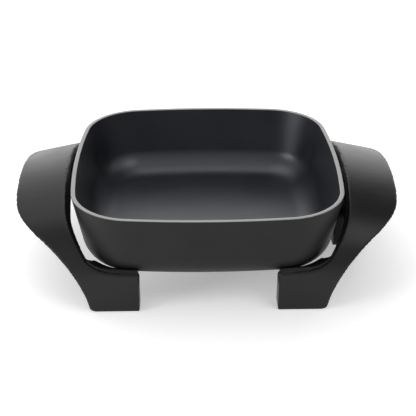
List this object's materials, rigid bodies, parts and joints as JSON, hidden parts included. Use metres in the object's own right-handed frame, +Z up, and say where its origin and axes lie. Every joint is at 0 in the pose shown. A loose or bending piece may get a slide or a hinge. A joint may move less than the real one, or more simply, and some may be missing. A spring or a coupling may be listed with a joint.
{
  "type": "electric skillet",
  "caption": "Deep bow-sided square skillet with a cast-in heating element, carried on two arched side mouldings that are both handles and legs, with a plug-in probe inlet.",
  "frame": {"origin": "centre of the footprint on the surface it stands on", "axes": "+X right towards the probe inlet, +Y to the back, +Z up"},
  "size_m": [0.395, 0.28, 0.1075],
  "materials": {
    "pan_coat": "dark satin coat outside, speckled non-stick coat inside, bare machined rim",
    "moulding": "satin black heat-resistant moulding",
    "sheath_steel": "drawn tube",
    "packed_insulation": "packed magnesia",
    "coil_wire": "resistance wire",
    "pin_steel": "polished pin",
    "seal_rubber": "silicone seal",
    "bush_ceramic": "unglazed ceramic",
    "well_steel": "drawn tube",
    "guard_paint": "black stoved enamel on pressed sheet",
    "fastener_steel": "zinc plated",
    "spacer_board": "pressed mineral board"
  },
  "bodies": {
    "root": {"pan": "pan_coat", "left_handle_leg": "moulding", "right_handle_leg": "moulding", "element_sheath": "sheath_steel", "element_insulation": "packed_insulation", "element_coil": "coil_wire", "terminal_pin_front": "pin_steel", "terminal_pin_rear": "pin_steel", "terminal_seal_front": "seal_rubber", "terminal_seal_rear": "seal_rubber", "terminal_bush_front": "bush_ceramic", "terminal_bush_rear": "bush_ceramic", "sensor_well": "well_steel", "terminal_guard": "guard_paint", "guard_screws": "fastener_steel", "left_screws": "fastener_steel", "right_screws": "fastener_steel", "left_lock_washers": "fastener_steel", "right_lock_washers": "fastener_steel", "left_spacers": "spacer_board", "right_spacers": "spacer_board"}
  },
  "joints": []
}
